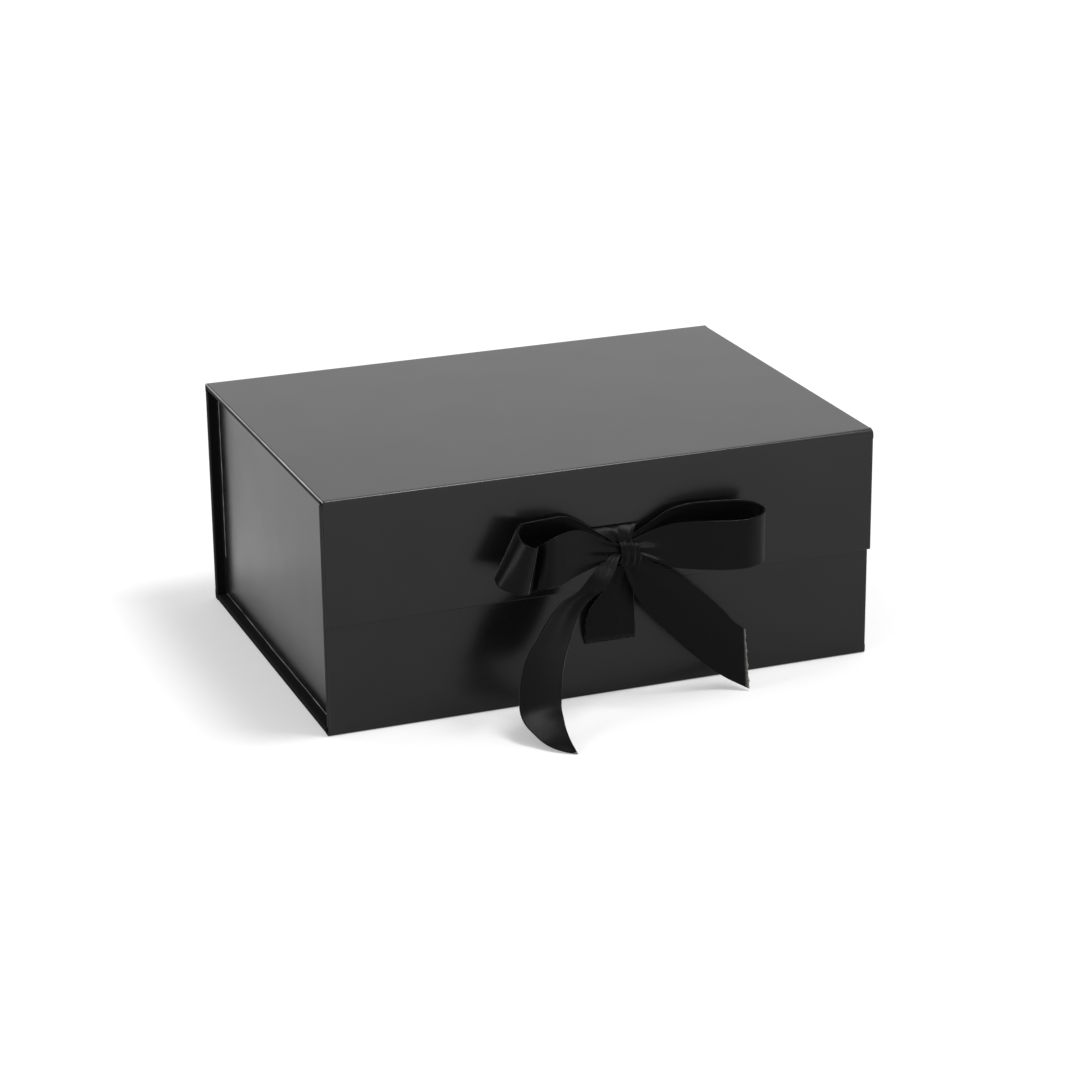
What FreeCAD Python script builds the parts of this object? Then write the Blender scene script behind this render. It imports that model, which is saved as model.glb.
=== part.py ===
"""Rigid gift box with a hinged lid, a magnetic front flap and a tied ribbon bow, in millimetres.

One wrapped case of five boards folds round two side walls: front panel, base, spine, lid and flap.
The origin is the centre of the base's underside, X runs along the width, the front faces -Y, +Z is up.
"""
import FreeCAD
import Part
import Sketcher
import math
import os

from FreeCAD import Vector

SIZES = [
    ("box_width", 240.0, "case, left edge to right edge"),
    ("base_depth", 172.0, "front panel's outer face to the spine's outer face"),
    ("box_height", 101.0, "table to the lid's top face"),
    ("flap_height", 53.0, "lid's top face to the flap's lower edge"),
    ("board_thick", 2.0, "greyboard of the case"),
    ("side_board_thick", 1.5, "greyboard of the two side walls"),
    ("paper_thick", 0.25, "wrapping and lining paper"),
    ("tape_thick", 0.15, "double-sided tape under the side walls' tabs"),
    ("crease_leg", 3.8, "folded corner to the end of the board beside it"),
    ("crease_radius", 1.2, "outside of a folded corner"),
    ("edge_round", 0.45, "paper folded round a board's edge"),
    ("turn_in", 14.0, "paper folded over onto a board's inner face"),
    ("flap_gap", 0.35, "flap's lining to the front panel"),
    ("lid_gap", 0.35, "lid's lining to the tops of the walls"),
    ("side_lip", 4.2, "case's edge past a side wall's outer face"),
    ("tab_width", 16.0, "glued tab round the foot and ends of a side wall"),
    ("tape_width", 9.0, "double-sided tape across"),
    ("tape_margin", 4.0, "side wall's outer face to its tape"),
    ("tape_end_gap", 16.0, "corner of the tray to the end of a tape"),
    ("magnet_diameter", 10.0, "disc magnets in the flap"),
    ("magnet_thick", 1.5, "disc magnets in the flap"),
    ("magnet_spacing", 150.0, "between the two magnets' centres"),
    ("magnet_rise", 12.0, "flap's lower edge to the magnets' centres"),
    ("keeper_diameter", 12.0, "steel discs in the front panel"),
    ("keeper_thick", 1.0, "steel discs in the front panel"),
    ("disc_clearance", 0.1, "between a disc and its pocket"),
    ("ribbon_width", 22.0, "satin ribbon across"),
    ("ribbon_thick", 0.5, "satin ribbon"),
    ("slit_clearance", 0.4, "between the ribbon and its slit"),
    ("ribbon_tuck", 16.0, "ribbon's end glued behind the board"),
    ("bow_offset", 2.0, "middle of the box to the middle of the bow"),
    ("knot_width", 9.0, "left to right"),
    ("knot_height", 10.0, "top to bottom"),
    ("knot_depth", 9.0, "front to back"),
    ("knot_round", 3.0, "rounding of the knot's edges"),
    ("knot_stand", 1.0, "flap's face to the back of the knot"),
    ("bow_drop", 8.5, "slit in the flap to the middle of the bow"),
    ("knot_aside", 4.0, "middle of the bow to the middle of the knot, to the right"),
    ("knot_sag", 1.5, "middle of the bow to the middle of the knot, down"),
    ("knot_gap", 0.3, "knot to the lower ribbon that runs up behind it"),
    ("loop_stand", 1.5, "flap's face to the back of a loop"),
    ("loop_end_radius", 11.0, "rounded far end of a loop"),
    ("left_loop_length", 54.0, "middle of the bow to the far end"),
    ("right_loop_length", 62.0, "middle of the bow to the far end"),
    ("gather_length", 26.0, "knot to where a loop has its full width"),
    ("pinch_height", 7.0, "loop's width where the knot gathers it"),
    ("left_loop_tilt", 4.0, "rise of the far end, in degrees"),
    ("right_loop_tilt", 1.5, "rise of the far end, in degrees"),
]

# Each tail is a row of cross lines, from the knot to its cut end. A cross line has its middle (mm right
# of the bow's middle, mm out from the flap's face, share of the bow's height above the table) and
# half its span (shares of half the ribbon's width to the right, outwards and up). The left tail swings
# outwards as it falls and ends in a tip that rests on the table.
LEFT_TAIL = [
    ((-1.0, 6.5, 0.965), (-0.25, -0.06, 0.12)),
    ((-6.8, 12.4, 0.920), (-0.26, -0.10, 0.07)),
    ((-11.4, 14.7, 0.871), (-0.27, -0.20, 0.08)),
    ((-18.3, 14.8, 0.784), (-0.34, 0.04, 0.16)),
    ((-25.9, 15.2, 0.688), (-0.66, 0.47, 0.34)),
    ((-32.2, 17.5, 0.545), (-0.82, 0.45, 0.34)),
    ((-37.8, 19.8, 0.382), (-0.91, 0.35, 0.30)),
    ((-41.6, 25.9, 0.204), (-0.88, 0.16, 0.13)),
    ((-42.6, 32.8, 0.119), (-0.77, 0.08, 0.01)),
    ((-41.0, 41.2, 0.049), (-0.50, 0.05, -0.05)),
    ((-37.5, 49.2, 0.010), (-0.16, 0.02, -0.02)),
    ((-36.0, 51.5, 0.000), (-0.03, 0.01, 0.00)),
]
RIGHT_TAIL = [
    ((2.0, 6.0, 0.955), (0.25, 0.00, 0.20)),
    ((8.6, 8.0, 0.830), (0.42, 0.10, 0.32)),
    ((18.0, 8.0, 0.695), (0.63, 0.10, 0.62)),
    ((28.8, 8.0, 0.540), (0.66, 0.00, 0.74)),
    ((38.6, 8.5, 0.392), (0.63, 0.00, 0.80)),
    ((47.4, 9.8, 0.262), (0.28, -0.12, 1.06)),
    ((54.8, 13.6, 0.188), (0.12, -0.46, 1.10)),
]


class Size:
    """A length that carries both its expression on the sheet and its value."""

    def __init__(self, text, value):
        self.text = text
        self.value = value

    @staticmethod
    def of(other):
        return other if isinstance(other, Size) else Size(str(float(other)), float(other))

    def __add__(self, other):
        other = Size.of(other)
        return Size(f"({self.text} + {other.text})", self.value + other.value)

    def __sub__(self, other):
        other = Size.of(other)
        return Size(f"({self.text} - {other.text})", self.value - other.value)

    def __mul__(self, factor):
        factor = Size.of(factor)
        return Size(f"({self.text} * {factor.text})", self.value * factor.value)

    def __truediv__(self, divisor):
        divisor = Size.of(divisor)
        return Size(f"({self.text} / {divisor.text})", self.value / divisor.value)

    def __neg__(self):
        return Size(f"(0 - {self.text})", -self.value)

    __rmul__ = __mul__


doc = FreeCAD.newDocument("GiftBox")
sheet = doc.addObject("Spreadsheet::Sheet", "Sizes")
for row, (alias, number, meaning) in enumerate(SIZES, 1):
    sheet.set(f"A{row}", meaning)
    sheet.set(f"B{row}", str(number))
    sheet.setAlias(f"B{row}", alias)
doc.recompute()


def size(alias):
    return Size(f"Sizes.{alias}", float(sheet.get(alias)))


ZERO = Size("0", 0.0)
WIDTH = size("box_width")
HEIGHT = size("box_height")
BOARD = size("board_thick")
PAPER = size("paper_thick")
LEG = size("crease_leg")
TURN_IN = size("turn_in")
TAPE = size("tape_thick")
PANEL = BOARD + PAPER * 2

LEFT = -WIDTH / 2
RIGHT = WIDTH / 2
BACK = size("base_depth") / 2
FRONT = -BACK
FLAP_FACE = FRONT - size("flap_gap") - PANEL
FLAP_LOW = HEIGHT - size("flap_height")
WALL_TOP = HEIGHT - PANEL - size("lid_gap")

RIBBON = size("ribbon_width")
RIBBON_THICK = size("ribbon_thick")
BOW_X = size("bow_offset")
UPPER_SLIT = HEIGHT - size("flap_height") / 2
LOWER_SLIT = FLAP_LOW / 2
BOW_Z = UPPER_SLIT - size("bow_drop")
KNOT_X = BOW_X + size("knot_aside")
KNOT_Z = BOW_Z - size("knot_sag")
KNOT_OUT = size("knot_stand") + size("knot_depth") / 2

nodes = {}


def keep(name, item):
    """Make an object a named sub-part of the box."""
    item.Label = name
    nodes[name] = item
    return item


def slab(name, x, y, z):
    """A box between two values on each axis."""
    item = doc.addObject("Part::Box", name)
    spans = (("Length", "x", x), ("Width", "y", y), ("Height", "z", z))
    for side, axis, (low, high) in spans:
        item.setExpression(side, (high - low).text)
        item.setExpression(f"Placement.Base.{axis}", low.text)
    return item


def disc(name, diameter, x, z, front, back):
    """A disc on a front-to-back axis, between two values of Y."""
    item = doc.addObject("Part::Cylinder", name)
    item.setExpression("Radius", (diameter / 2).text)
    item.setExpression("Height", (back - front).text)
    item.Placement.Rotation = FreeCAD.Rotation(Vector(1, 0, 0), -90)
    for axis, value in zip("xyz", (x, front, z)):
        item.setExpression(f"Placement.Base.{axis}", value.text)
    return item


def fuse(name, items):
    item = doc.addObject("Part::MultiFuse", name)
    item.Shapes = items
    item.Refine = True
    return item


def cut(name, base, tools):
    item = doc.addObject("Part::Cut", name)
    item.Base = base
    item.Tool = tools[0] if len(tools) == 1 else fuse(f"{name}_tools", tools)
    item.Refine = True
    return item


def group(name, items):
    """Separate solids that share one sub-part."""
    item = doc.addObject("Part::Compound", name)
    item.Links = items
    return item


def round_edges(name, base, radius, chosen):
    """Fillet the edges of a solid that a test picks by their middles and directions."""
    doc.recompute()
    item = doc.addObject("Part::Fillet", name)
    item.Base = base
    picked = []
    for number, edge in enumerate(base.Shape.Edges, 1):
        middle = edge.valueAt((edge.FirstParameter + edge.LastParameter) / 2)
        along = edge.tangentAt(edge.FirstParameter)
        if chosen(middle, along):
            picked.append((number, radius, radius))
    item.Edges = picked
    return item


def shaped(name, shape):
    """A free form that is worked out from the sheet's values."""
    item = doc.addObject("Part::Feature", name)
    item.Shape = shape
    item.Placement = FreeCAD.Placement()
    return item


def from_outside(outer, inward, start, stop):
    """The span of a layer that lies between two depths below a panel's outer face."""
    if inward > 0:
        return (outer + start, outer + stop)
    return (outer - stop, outer - start)


class CasePanel:
    """One board of the case, its wrap with the turned-in edges, and its lining.

    thin is the axis across the board, outer the place of its outer face on that axis, inward the
    direction to the inside, and span the wrap's reach on the remaining axis. The wrap also closes
    over the board's low or high end where closed says so.
    """

    def __init__(self, name, thin, outer, inward, span, closed=None):
        self.name = name
        self.thin = thin
        self.outer = outer
        self.inward = inward
        self.span = span
        self.closed = closed

    def layer(self, name, start, stop, side_inset, end_inset):
        low, high = self.span
        if self.closed == "low":
            low = low + end_inset
        if self.closed == "high":
            high = high - end_inset
        across = from_outside(self.outer, self.inward, start, stop)
        x = (LEFT + side_inset, RIGHT - side_inset)
        if self.thin == "z":
            return slab(name, x, (low, high), across)
        return slab(name, x, across, (low, high))

    def board(self, name):
        return self.layer(name, PAPER, PAPER + BOARD, PAPER, PAPER)

    def lining(self, name):
        return self.layer(name, PAPER + BOARD, PANEL, TURN_IN, TURN_IN)

    def wrap(self, name, slits=()):
        whole = self.layer(f"{name}_whole", ZERO, PANEL, ZERO, ZERO)
        hollow = [self.board(f"{name}_core"), self.lining(f"{name}_window")]
        shell = cut(f"{name}_shell", whole, hollow + list(slits))
        half_width = WIDTH.value / 2
        faces = [self.outer.value, self.outer.value + self.inward * PANEL.value]
        closed_end = {"low": self.span[0].value, "high": self.span[1].value}.get(self.closed)

        def on_rim(middle, along):
            across = middle.z if self.thin == "z" else middle.y
            lengthwise = middle.y if self.thin == "z" else middle.z
            on_face = min(abs(across - face) for face in faces) < 1e-6
            at_side = abs(abs(middle.x) - half_width) < 1e-6 and abs(along.x) < 1e-6
            at_end = closed_end is not None and abs(lengthwise - closed_end) < 1e-6 and abs(along.x) > 0.99
            return on_face and (at_side or at_end)

        return round_edges(name, shell, size("edge_round").value, on_rim)


def slit(name, height, front, back):
    """The cut that the ribbon comes out of."""
    half = RIBBON / 2 + size("slit_clearance")
    tall = RIBBON_THICK / 2 + size("slit_clearance")
    return slab(name, (BOW_X - half, BOW_X + half), (front, back), (height - tall, height + tall))


def tuck_pocket(name, height, board_back, rise):
    """The shallow recess behind a board where the ribbon's end is glued."""
    half = RIBBON / 2 + size("slit_clearance")
    deep = RIBBON_THICK + size("disc_clearance")
    reach = size("ribbon_tuck") + size("slit_clearance")
    z = (height, height + reach) if rise > 0 else (height - reach, height)
    return slab(name, (BOW_X - half, BOW_X + half), (board_back - deep, board_back), z)


def disc_pair(name, diameter, front, back):
    """Two discs side by side, level with the magnets in the flap."""
    rise = FLAP_LOW + size("magnet_rise")
    half = size("magnet_spacing") / 2
    return [disc(f"{name}_{side}", diameter, x, rise, front, back)
            for side, x in (("left", -half), ("right", half))]


def make_crease(name, corner_y, corner_z, turn):
    """A strip of wrap and lining glued together, folded round one corner of the case."""
    body = doc.addObject("PartDesign::Body", name)
    plane = next(item for item in body.Origin.OriginFeatures if item.Role == "YZ_Plane")
    sketch = body.newObject("Sketcher::SketchObject", f"{name}_profile")
    sketch.AttachmentSupport = (plane, "")
    sketch.MapMode = "FlatFace"
    leg = LEG.value
    thick = PAPER.value * 2
    corners = [(0, 0), (leg, 0), (leg, thick), (thick, thick), (thick, leg), (0, leg)]
    for start, stop in zip(corners, corners[1:] + corners[:1]):
        sketch.addGeometry(Part.LineSegment(Vector(*start), Vector(*stop)))
    for line in range(6):
        sketch.addConstraint(Sketcher.Constraint("Coincident", line, 2, (line + 1) % 6, 1))
        direction = "Horizontal" if line % 2 == 0 else "Vertical"
        sketch.addConstraint(Sketcher.Constraint(direction, line))
    sketch.addConstraint(Sketcher.Constraint("Coincident", 0, 1, -1, 1))
    lengths = ((0, "leg_along", LEG), (5, "leg_up", LEG), (1, "thick_along", PAPER * 2),
               (4, "thick_up", PAPER * 2))
    for line, label, value in lengths:
        index = sketch.addConstraint(Sketcher.Constraint("Distance", line, value.value))
        sketch.renameConstraint(index, label)
        sketch.setExpression(f"Constraints.{label}", value.text)
    pad = body.newObject("PartDesign::Pad", f"{name}_pad")
    pad.Profile = sketch
    pad.SideType = "Symmetric"
    pad.setExpression("Length", WIDTH.text)
    doc.recompute()
    fillet_rows = (("outer", ZERO, size("crease_radius")),
                   ("inner", PAPER * 2, size("crease_radius") - PAPER * 2))
    last = pad
    for label, place, radius in fillet_rows:
        edge = next(number for number, item in enumerate(last.Shape.Edges, 1)
                    if all(abs(point.Y - place.value) + abs(point.Z - place.value) < 1e-6
                           for point in item.Vertexes))
        last = body.newObject("PartDesign::Fillet", f"{name}_{label}")
        last.Base = (body.Group[-2], [f"Edge{edge}"])
        last.setExpression("Radius", radius.text)
        doc.recompute()
    body.Tip = last
    body.Placement.Rotation = FreeCAD.Rotation(Vector(1, 0, 0), turn)
    body.setExpression("Placement.Base.y", corner_y.text)
    body.setExpression("Placement.Base.z", corner_z.text)
    return keep(name, body)


def make_case():
    """The five wrapped and lined boards and the four folds that join them."""
    base = CasePanel("base", "z", ZERO, 1, (FRONT + LEG, BACK - LEG))
    spine = CasePanel("spine", "y", BACK, -1, (LEG, HEIGHT - LEG))
    front = CasePanel("front", "y", FRONT, 1, (LEG, WALL_TOP), closed="high")
    lid = CasePanel("lid", "z", HEIGHT, -1, (FLAP_FACE + LEG, BACK - LEG))
    flap = CasePanel("flap", "y", FLAP_FACE, 1, (FLAP_LOW, HEIGHT - LEG), closed="low")

    for panel in (base, spine, lid):
        keep(f"{panel.name}_board", panel.board(f"{panel.name}_board"))
        keep(f"{panel.name}_wrap", panel.wrap(f"{panel.name}_wrap"))
        keep(f"{panel.name}_liner", panel.lining(f"{panel.name}_liner"))

    play = size("disc_clearance")
    for panel, height, tuck_rise in ((front, LOWER_SLIT, -1), (flap, UPPER_SLIT, 1)):
        name = panel.name
        board_front = panel.outer + PAPER
        board_back = board_front + BOARD
        if panel is flap:
            thick = size("magnet_thick")
            discs = ("flap_magnets", size("magnet_diameter"), board_back - thick, board_back)
            pocket = (board_back - thick - play, board_back)
        else:
            thick = size("keeper_thick")
            discs = ("keeper_plates", size("keeper_diameter"), board_front, board_front + thick)
            pocket = (board_front, board_front + thick + play)
        pockets = disc_pair(f"{name}_pocket", discs[1] + play * 2, *pocket)
        opening = slit(f"{name}_board_slit", height, board_front, board_back)
        recess = tuck_pocket(f"{name}_tuck", height, board_back, tuck_rise)
        blank = panel.board(f"{name}_blank")
        keep(f"{name}_board", cut(f"{name}_board", blank, pockets + [opening, recess]))
        keep(discs[0], group(discs[0], disc_pair(discs[0], *discs[1:])))
        paper_slit = slit(f"{name}_wrap_slit", height, panel.outer, board_front)
        keep(f"{name}_wrap", panel.wrap(f"{name}_wrap", [paper_slit]))
        keep(f"{name}_liner", panel.lining(f"{name}_liner"))

    make_crease("front_base_crease", FRONT, ZERO, 0)
    make_crease("rear_base_crease", BACK, ZERO, 90)
    make_crease("lid_crease", BACK, HEIGHT, 180)
    make_crease("flap_crease", FLAP_FACE, HEIGHT, 270)


def make_side_wall(name, outer, inward):
    """A wrapped board that stands on the base, with tabs taped to the base, front panel and spine."""
    thick = size("side_board_thick") + PAPER * 2
    inner_front = FRONT + PANEL
    inner_back = BACK - PANEL
    foot = PANEL + TAPE
    wrap_y = (inner_front + TAPE, inner_back - TAPE)
    board_y = (wrap_y[0] + PAPER, wrap_y[1] - PAPER)
    tab = from_outside(outer, inward, ZERO, size("tab_width"))
    skin = from_outside(outer, inward, ZERO, PAPER)
    inner_skin = from_outside(outer, inward, thick - PAPER, thick)
    whole = from_outside(outer, inward, ZERO, thick)

    board_x = from_outside(outer, inward, PAPER, thick - PAPER)
    board = slab(f"{name}_board", board_x, board_y, (foot + PAPER, WALL_TOP - PAPER))
    keep(f"{name}_board", board)

    rise = (foot, WALL_TOP)
    pieces = [
        slab(f"{name}_skin", skin, wrap_y, rise),
        slab(f"{name}_top_fold", whole, wrap_y, (WALL_TOP - PAPER, WALL_TOP)),
        slab(f"{name}_inner_fold", inner_skin, wrap_y, (WALL_TOP - TURN_IN, WALL_TOP)),
        slab(f"{name}_foot_tab", tab, wrap_y, (foot, foot + PAPER)),
        slab(f"{name}_front_tab", tab, (wrap_y[0], wrap_y[0] + PAPER), rise),
        slab(f"{name}_rear_tab", tab, (wrap_y[1] - PAPER, wrap_y[1]), rise),
    ]
    keep(f"{name}_wrap", fuse(f"{name}_wrap", pieces))

    liner_z = (foot + PAPER, WALL_TOP - TURN_IN)
    keep(f"{name}_liner", slab(f"{name}_liner", inner_skin, board_y, liner_z))

    margin = size("tape_margin")
    end_gap = size("tape_end_gap")
    tape = from_outside(outer, inward, margin, margin + size("tape_width"))
    tape_z = (PANEL + end_gap, WALL_TOP - end_gap)
    tapes = [
        slab(f"{name}_foot_tape", tape, (inner_front + end_gap, inner_back - end_gap), (PANEL, foot)),
        slab(f"{name}_front_tape", tape, (inner_front, inner_front + TAPE), tape_z),
        slab(f"{name}_rear_tape", tape, (inner_back - TAPE, inner_back), tape_z),
    ]
    keep(f"{name}_tapes", group(f"{name}_tapes", tapes))


def strip(cross_lines, thick):
    """A smooth ribbon of even thickness through cross lines, each given by its two edge points."""
    middles = [(left + right) * 0.5 for left, right in cross_lines]
    wires = []
    for index, (left, right) in enumerate(cross_lines):
        ahead = middles[min(index + 1, len(middles) - 1)]
        behind = middles[max(index - 1, 0)]
        normal = (ahead - behind).cross(right - left).normalize() * (thick / 2)
        corners = [left + normal, right + normal, right - normal, left - normal]
        wires.append(Part.makePolygon(corners + corners[:1]))
    return Part.makeLoft(wires, True, False)


def level_line(half, y, z, aside=0.0):
    """A cross line along X about the bow's middle, or that far to the right of it."""
    middle = BOW_X.value + aside
    return Vector(middle - half, y, z), Vector(middle + half, y, z)


def plate(x_half, y, z):
    """A flat stretch of ribbon about the bow's middle, between two values of Y and of Z."""
    corner = Vector(BOW_X.value - x_half, y[0], z[0])
    return Part.makeBox(2 * x_half, y[1] - y[0], z[1] - z[0], corner)


def make_lead(slit_height, outer, rise, lines):
    """The ribbon glued behind a board, out through its slit and along the given cross lines."""
    half = RIBBON.value / 2
    thick = RIBBON_THICK.value
    face = outer.value
    board_back = (outer + PAPER + BOARD).value
    slot = (slit_height.value - thick / 2, slit_height.value + thick / 2)
    reach = size("ribbon_tuck").value
    tucked = (slot[0], slit_height.value + reach) if rise > 0 else (slit_height.value - reach, slot[1])
    behind = plate(half, (board_back - thick, board_back), tucked)
    through = plate(half, (face, board_back), slot)
    outside = strip([level_line(half, face, slit_height.value)] + lines, thick)
    return behind.fuse(through).fuse(outside).removeSplitter()


def add_ribbon(name, form, in_the_way):
    """A stretch of ribbon that stops at what was tied before it."""
    for item in in_the_way:
        form = form.cut(item.Shape)
    largest = max(form.Solids, key=lambda solid: solid.Volume)
    return keep(name, shaped(name, largest))


def make_knot():
    half = size("knot_width") / 2
    tall = size("knot_height") / 2
    back = FLAP_FACE - size("knot_stand")
    block = slab("knot_block", (KNOT_X - half, KNOT_X + half), (back - size("knot_depth"), back),
                 (KNOT_Z - tall, KNOT_Z + tall))
    return keep("bow_knot", round_edges("bow_knot", block, size("knot_round").value, lambda *edge: True))


def make_leads(knot):
    """The ribbon from the two slits to the knot. The upper one is part of the bow."""
    half = RIBBON.value / 2
    pinch = size("pinch_height").value / 2
    face = FLAP_FACE.value
    knot_y = face - KNOT_OUT.value
    knot_top = (KNOT_Z + size("knot_height") / 2).value
    knot_low = (KNOT_Z - size("knot_height") / 2).value
    aside = size("knot_aside").value

    top = UPPER_SLIT.value
    upper = [
        level_line(half * 0.85, face - KNOT_OUT.value * 0.45, top - (top - knot_top) * 0.25),
        level_line(half * 0.55, face - KNOT_OUT.value * 0.85, top - (top - knot_top) * 0.7, aside * 0.3),
        level_line(pinch, knot_y, knot_top - pinch / 2, aside * 0.6),
    ]
    upper_ribbon = add_ribbon("upper_ribbon", make_lead(UPPER_SLIT, FLAP_FACE, 1, upper), [knot])

    low = LOWER_SLIT.value
    edge = FLAP_LOW.value
    end = knot_low - size("knot_gap").value
    proud = RIBBON_THICK.value
    lower = [
        level_line(half, face + proud, low + (edge - low) * 0.25),
        level_line(half * 0.97, face - proud * 2, low + (edge - low) * 0.65),
        level_line(half * 0.8, face - proud * 3, edge + (end - edge) * 0.2),
        level_line(pinch, face - KNOT_OUT.value * 0.6, end, aside * 0.6),
    ]
    add_ribbon("lower_ribbon", make_lead(LOWER_SLIT, FRONT, -1, lower), [])
    return upper_ribbon


def tangent_point(point, centre, radius, side):
    """Where a line from a point touches a circle, on its left (1) or right (-1) side."""
    reach = centre - point
    angle = math.atan2(reach.y, reach.x) + side * math.asin(radius / reach.Length)
    touch = math.sqrt(reach.Length ** 2 - radius ** 2)
    return point + Vector(math.cos(angle), math.sin(angle), 0) * touch


def loop_shape(side, length, tilt):
    """A loop of ribbon on edge: a drop-shaped band in plan, gathered towards the knot."""
    thick = RIBBON_THICK.value
    half = RIBBON.value / 2
    pinch = size("pinch_height").value / 2
    radius = size("loop_end_radius").value
    tight = size("knot_depth").value / 6
    centre = Vector(length - radius, size("loop_stand").value + radius, 0)
    near = Vector(0, KNOT_OUT.value - tight, 0)
    far = Vector(0, KNOT_OUT.value + tight, 0)
    touch_near = tangent_point(near, centre, radius, -1)
    touch_far = tangent_point(far, centre, radius, 1)
    tip = centre + Vector(radius, 0, 0)
    diagonal = radius * math.sqrt(0.5)
    edges = [
        Part.LineSegment(near, touch_near),
        Part.Arc(touch_near, centre + Vector(diagonal, -diagonal, 0), tip),
        Part.Arc(tip, centre + Vector(diagonal, diagonal, 0), touch_far),
        Part.LineSegment(touch_far, far),
        Part.LineSegment(far, near),
    ]
    outline = Part.Face(Part.Wire([edge.toShape() for edge in edges]))
    band = outline.cut(outline.makeOffset2D(-thick))
    band = band.extrude(Vector(0, 0, 2 * half))
    band.translate(Vector(0, 0, -half))
    gather = size("gather_length").value
    taper = [(0, -pinch), (gather, -half), (length + thick, -half), (length + thick, half), (gather, half),
             (0, pinch)]
    corners = [Vector(along, 0, up) for along, up in taper]
    prism = Part.Face(Part.makePolygon(corners + corners[:1]))
    loop = band.common(prism.extrude(Vector(0, 2 * (centre.y + radius), 0)))
    loop.rotate(Vector(0, 0, 0), Vector(0, 1, 0), -tilt)
    placed = loop.mirror(Vector(0, 0, 0), Vector(0, 1, 0))
    if side < 0:
        placed = placed.mirror(Vector(0, 0, 0), Vector(1, 0, 0))
    placed.translate(Vector(BOW_X.value, FLAP_FACE.value, BOW_Z.value))
    return placed


def tail_shape(stations):
    """A loose end of the ribbon, from the knot down to its slanting cut."""
    thick = RIBBON_THICK.value
    half = RIBBON.value / 2
    rest = thick * 0.55
    lines = []
    for (along, out, share), span in stations:
        middle = Vector(BOW_X.value + along, FLAP_FACE.value - out, rest + share * (BOW_Z.value - rest))
        reach = Vector(span[0], -span[1], span[2]) * half
        lines.append((middle + reach, middle - reach))
    return strip(lines, thick)


def make_bow():
    """The ribbon from both slits, tied in front of the flap."""
    knot = make_knot()
    doc.recompute()
    tied = [knot, make_leads(knot)]
    for name, side in (("left_loop", -1), ("right_loop", 1)):
        form = loop_shape(side, size(f"{name}_length").value, size(f"{name}_tilt").value)
        tied.append(add_ribbon(f"bow_{name}", form, tied))
    for name, stations in (("left_tail", LEFT_TAIL), ("right_tail", RIGHT_TAIL)):
        tied.append(add_ribbon(f"bow_{name}", tail_shape(stations), tied))


make_case()
make_side_wall("left_side", LEFT + size("side_lip"), 1)
make_side_wall("right_side", RIGHT - size("side_lip"), -1)
make_bow()
doc.recompute()

for item in doc.Objects:
    if "Invalid" in item.State or "Error" in item.State:
        raise RuntimeError(f"{item.Label} did not build: {item.State}")
for name, item in nodes.items():
    if item.Shape.isNull() or not item.Shape.isValid() or not item.Shape.Solids:
        raise RuntimeError(f"{name} is not a valid solid")

os.makedirs("parts", exist_ok=True)
for name, item in nodes.items():
    item.Shape.exportStep(os.path.join("parts", f"{name}.step"))
print(f"{len(nodes)} sub-parts written")
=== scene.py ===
"""Looks of a black gift box with a hinged lid, a front flap and a tied satin bow.

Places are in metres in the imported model's frame: X along the width, the front faces -Y, Z up from the
table. The bow's cross lines are in millimetres, measured from the bow's middle, the flap's face and the
table.
"""
import math

import bpy
import numpy as np
from mathutils import Matrix, Vector


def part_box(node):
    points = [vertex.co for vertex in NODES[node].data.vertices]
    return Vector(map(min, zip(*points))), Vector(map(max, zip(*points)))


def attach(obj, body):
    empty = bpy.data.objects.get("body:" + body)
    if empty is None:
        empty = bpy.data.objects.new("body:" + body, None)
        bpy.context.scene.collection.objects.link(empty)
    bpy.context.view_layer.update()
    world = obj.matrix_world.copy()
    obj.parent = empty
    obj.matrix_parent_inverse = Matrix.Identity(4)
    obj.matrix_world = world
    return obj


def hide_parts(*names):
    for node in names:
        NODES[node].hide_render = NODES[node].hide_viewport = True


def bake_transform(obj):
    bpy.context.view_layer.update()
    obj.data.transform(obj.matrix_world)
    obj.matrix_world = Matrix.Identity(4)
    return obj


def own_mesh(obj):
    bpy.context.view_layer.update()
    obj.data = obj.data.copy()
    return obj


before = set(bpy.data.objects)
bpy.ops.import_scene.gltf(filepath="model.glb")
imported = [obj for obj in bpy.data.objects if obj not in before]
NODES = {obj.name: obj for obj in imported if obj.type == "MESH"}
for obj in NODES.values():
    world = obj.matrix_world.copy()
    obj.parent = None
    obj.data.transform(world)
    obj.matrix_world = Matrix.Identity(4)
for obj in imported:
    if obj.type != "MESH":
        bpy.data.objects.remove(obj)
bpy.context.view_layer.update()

MM = 0.001

# The photograph's camera, found from the box's corners.
CAMERA_PLACE = (-0.44461, -1.18695, 0.49296)
CAMERA_RIGHT = (0.93386, -0.35747, -0.01096)
CAMERA_UP = (0.13013, 0.31107, 0.94144)
CAMERA_BACK = (-0.33312, -0.88060, 0.33701)
CAMERA_LENS = 102.987
CAMERA_CLIP = (0.05, 60.0)
SENSOR = 36.0

# Lamps (name, place, side, power in watts), the point that they face, and the surround's light on surfaces.
LAMPS = (
    ("key", (0.45, -0.3, 1.6), 0.5, 14.0),
    ("left", (-1.2, -0.2, 0.45), 0.3, 4.0),
)
LAMP_AIM = Vector((0.0, 0.0, 0.05))
SURROUND_LIGHT = 0.52

# Floor: its reach, its own light near the object and far off, the distances between which that rises, and
# those between which the glow that gloss shows rises from none, so reflections of the near floor are darker:
# painted shade.
FLOOR_REACH = 20.0
FLOOR_GLOW = (0.28, 0.75)
GLOW_RISE = (0.35, 1.3)
MIRROR_RISE = (0.15, 0.6)

# Glowing band on the floor left of the case, which only gloss shows, painting light into the left wall's
# reflection: its light, and how far off it grows and fades.
BAND_LIGHT = 0.34
BAND_GROWS = (2 * MM, 15 * MM)
BAND_FADES = (22 * MM, 42 * MM)

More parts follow.
